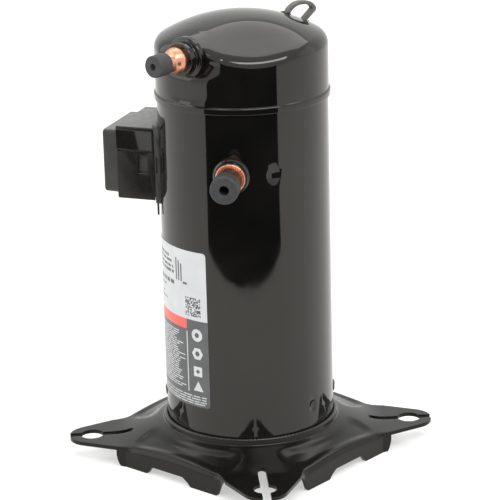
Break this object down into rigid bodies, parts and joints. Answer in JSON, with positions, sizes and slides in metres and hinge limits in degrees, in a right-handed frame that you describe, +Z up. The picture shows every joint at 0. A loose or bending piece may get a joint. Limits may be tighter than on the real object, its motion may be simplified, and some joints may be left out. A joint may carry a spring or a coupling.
{
  "type": "scroll compressor",
  "caption": "Hermetic scroll compressor: black shell with domed cap on a square eared base, plugged suction and discharge stubs, terminal box, lifting lug and full working internals.",
  "frame": {"origin": "on the shaft axis, in the plane the feet stand on", "axes": "+Z up along the shaft; X and Y parallel to the sides of the base; -Y is the discharge stub's side"},
  "size_m": [0.2302, 0.2284, 0.3764],
  "materials": {
    "black_paint": "gloss",
    "plain_steel": "satin",
    "copper": "satin",
    "black_rubber": "matte",
    "bead_glass": "gloss",
    "pin_metal": "satin",
    "box_plastic": "satin",
    "label_film": "satin",
    "bronze": "satin",
    "magnet_iron": "matte",
    "lamination_steel": "matte",
    "insulation_film": "matte",
    "enamel_wire": "gloss",
    "lead_sleeve": "matte",
    "moulded_nylon": "satin",
    "cast_iron": "machined",
    "dark_bolt": "black oxide",
    "brass": "satin",
    "ground_steel": "ground",
    "cage_aluminium": "cast",
    "seal_polymer": "satin"
  },
  "bodies": {
    "housing": {"base_plate": "black_paint", "bottom_cap": "black_paint", "shell_tube": "black_paint", "top_cap": "black_paint", "partition_plate": "plain_steel", "lifting_lug": "black_paint", "discharge_fitting": "black_paint", "discharge_tube": "copper", "suction_fitting": "plain_steel", "suction_tube": "copper", "suction_baffle": "plain_steel", "terminal_fence": "black_paint", "terminal_cup": "plain_steel", "terminal_glass": "bead_glass", "terminal_pins": "pin_metal", "terminal_box_base": "box_plastic", "rating_label": "label_film", "lower_bearing_bracket": "plain_steel", "lower_bearing_bush": "bronze", "thrust_washer": "bronze", "sump_magnet": "magnet_iron", "stator_core": "lamination_steel", "slot_liners": "insulation_film", "stator_windings": "enamel_wire", "motor_protector": "plain_steel", "lead_wires": "lead_sleeve", "lead_plug": "moulded_nylon", "main_bearing_housing": "cast_iron", "main_bearing_bush": "bronze", "guide_sleeves": "plain_steel", "guide_bolts": "dark_bolt", "check_valve_seat": "plain_steel", "check_valve_retainer": "plain_steel", "relief_valve_body": "brass", "relief_spring": "plain_steel"},
    "crank": {"crankshaft": "ground_steel", "rotor_core": "lamination_steel", "rotor_cage": "cage_aluminium", "upper_counterweight": "cast_iron", "lower_counterweight": "brass", "oil_pickup": "plain_steel", "drive_bushing": "ground_steel"},
    "orbiter": {"orbiting_scroll": "cast_iron", "hub_bush": "bronze"},
    "oldham_carrier": {"oldham_ring": "cage_aluminium"},
    "oldham_guide": {"oldham_keys": "cage_aluminium"},
    "fixed_scroll_set": {"fixed_scroll": "cast_iron"},
    "seal_piston": {"floating_seal": "cast_iron", "face_seals": "seal_polymer"},
    "check_disc": {"check_valve_disc": "plain_steel"},
    "relief_stem": {"relief_poppet": "plain_steel"},
    "box_cover": {"terminal_box_cover": "box_plastic"},
    "suction_cap": {"suction_plug": "black_rubber"},
    "discharge_cap": {"discharge_plug": "black_rubber"}
  },
  "joints": [
    {"name": "crank_turn", "type": "hinge", "parent": "housing", "child": "crank", "pos_m": [0, 0, 0.2165], "axis": [0, 0, 1], "continuous": true},
    {"name": "orbit_turn", "type": "hinge", "parent": "crank", "child": "orbiter", "pos_m": [0.00435, 0, 0.2475], "axis": [0, 0, 1], "continuous": true},
    {"name": "oldham_turn", "type": "hinge", "parent": "crank", "child": "oldham_carrier", "pos_m": [0.00217, 0, 0.256], "axis": [0, 0, 1], "continuous": true},
    {"name": "oldham_keep_square", "type": "hinge", "parent": "oldham_carrier", "child": "oldham_guide", "pos_m": [0.00435, 0, 0.256], "axis": [0, 0, 1], "continuous": true},
    {"name": "scroll_lift", "type": "slide", "parent": "housing", "child": "fixed_scroll_set", "axis": [0, 0, 1], "range_m": [0, 0.0008]},
    {"name": "seal_lift", "type": "slide", "parent": "fixed_scroll_set", "child": "seal_piston", "axis": [0, 0, 1], "range_m": [0, 0.001]},
    {"name": "check_disc_lift", "type": "slide", "parent": "housing", "child": "check_disc", "axis": [0, 0, 1], "range_m": [0, 0.0035]},
    {"name": "relief_lift", "type": "slide", "parent": "housing", "child": "relief_stem", "axis": [0, 0, 1], "range_m": [0, 0.002], "deforming": ["relief_spring"]},
    {"name": "box_cover_pull", "type": "slide", "parent": "housing", "child": "box_cover", "axis": [-0.9367, -0.3502, 0], "range_m": [0, 0.06]},
    {"name": "suction_plug_pull", "type": "slide", "parent": "housing", "child": "suction_cap", "axis": [0.5358, -0.8443, 0], "range_m": [0, 0.04]},
    {"name": "discharge_plug_pull", "type": "slide", "parent": "housing", "child": "discharge_cap", "axis": [0, -1, 0], "range_m": [0, 0.06]}
  ],
  "couplings": [
    {"joint": "orbit_turn", "follows": "crank_turn", "ratio": -1},
    {"joint": "oldham_turn", "follows": "crank_turn", "ratio": -2},
    {"joint": "oldham_keep_square", "follows": "crank_turn", "ratio": 1}
  ]
}
